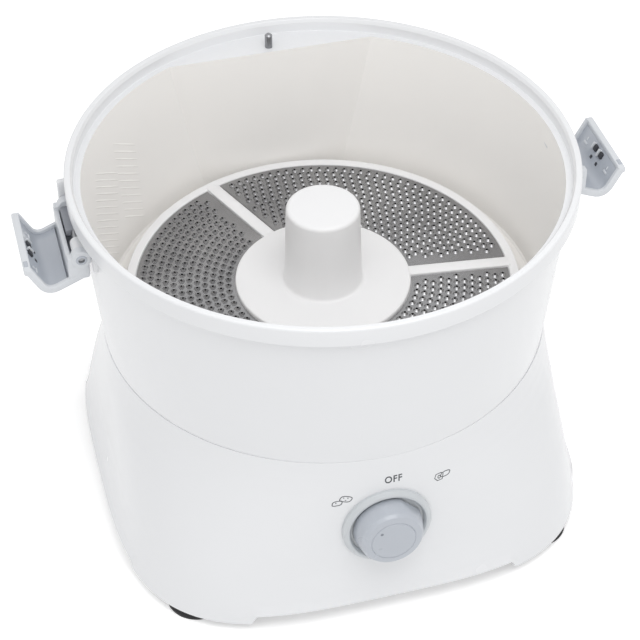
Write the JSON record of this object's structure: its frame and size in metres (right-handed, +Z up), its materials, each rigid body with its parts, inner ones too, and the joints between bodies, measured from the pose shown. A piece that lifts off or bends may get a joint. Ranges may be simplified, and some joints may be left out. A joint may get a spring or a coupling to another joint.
{
  "type": "electric potato peeler",
  "caption": "Electric potato peeler: white round bowl on a flared square base, turning rasp disc with a tall hub, swing clip levers, front rotary knob and suction feet.",
  "frame": {"origin": "on the table under the axis of the disc and bowl", "axes": "+Z up along the drive shaft, -Y towards the knob and the user, +X to the user's right through one clip lever"},
  "size_m": [0.3054, 0.2656, 0.196],
  "materials": {
    "white_plastic": "glossy white ABS",
    "grey_plastic": "satin silver-grey plastic",
    "natural_plastic": "natural acetal",
    "black_rubber": "moulded black rubber",
    "black_plastic": "black nylon",
    "stainless": "brushed stainless sheet",
    "steel": "plain turned steel",
    "zinc": "die-cast, as cast",
    "bronze": "sintered bronze",
    "board_green": "coated laminate"
  },
  "bodies": {
    "housing": {"bowl": "white_plastic", "base_housing": "white_plastic", "bottom_plate": "white_plastic", "bottom_screws": "steel", "foot_front_left": "black_rubber", "foot_front_right": "black_rubber", "foot_rear_left": "black_rubber", "foot_rear_right": "black_rubber", "foot_screws": "steel", "upper_bush": "bronze", "lower_bush": "bronze", "shaft_seal": "black_rubber", "motor": "steel", "motor_plate": "zinc", "motor_plate_screws": "steel", "knob_bezel": "grey_plastic", "rotary_switch": "black_plastic", "clip_pin_left": "steel", "clip_pin_right": "steel", "interlock_spring": "steel", "interlock_switch": "black_plastic", "circuit_board": "board_green", "cord_inlet": "black_plastic"},
    "rotor": {"rasp_disc": "white_plastic", "disc_hub": "white_plastic", "rasp_plates": "stainless", "drive_shaft": "steel", "driven_gear": "natural_plastic"},
    "motor_rotor": {"motor_pinion": "steel", "motor_shaft": "steel"},
    "knob": {"knob": "grey_plastic", "switch_spindle": "natural_plastic"},
    "clip_right": {"clip_lever_right": "grey_plastic"},
    "clip_left": {"clip_lever_left": "grey_plastic"},
    "interlock": {"interlock_pin": "steel"}
  },
  "joints": [
    {"name": "disc_spin", "type": "hinge", "parent": "housing", "child": "rotor", "pos_m": [0, 0, 0.11], "axis": [0, 0, 1], "continuous": true},
    {"name": "motor_spin", "type": "hinge", "parent": "housing", "child": "motor_rotor", "pos_m": [-0.045, 0, 0.09], "axis": [0, 0, 1], "continuous": true},
    {"name": "knob_turn", "type": "hinge", "parent": "housing", "child": "knob", "pos_m": [0, -0.11704, 0.056], "axis": [0, -0.9973, 0.0734], "range_deg": [-90, 0]},
    {"name": "clip_right_swing", "type": "hinge", "parent": "housing", "child": "clip_right", "pos_m": [0.1235, 0, 0.175], "axis": [0, -1, 0], "range_deg": [0, 98]},
    {"name": "clip_left_swing", "type": "hinge", "parent": "housing", "child": "clip_left", "pos_m": [-0.1235, 0, 0.175], "axis": [0, 1, 0], "range_deg": [0, 98]},
    {"name": "interlock_slide", "type": "slide", "parent": "housing", "child": "interlock", "axis": [0, 0, -1], "range_m": [0, 0.003], "stiffness_N_per_m": 300, "springref_m": -0.003, "deforming": ["interlock_spring"]}
  ],
  "couplings": [
    {"joint": "motor_spin", "follows": "disc_spin", "ratio": -5}
  ]
}
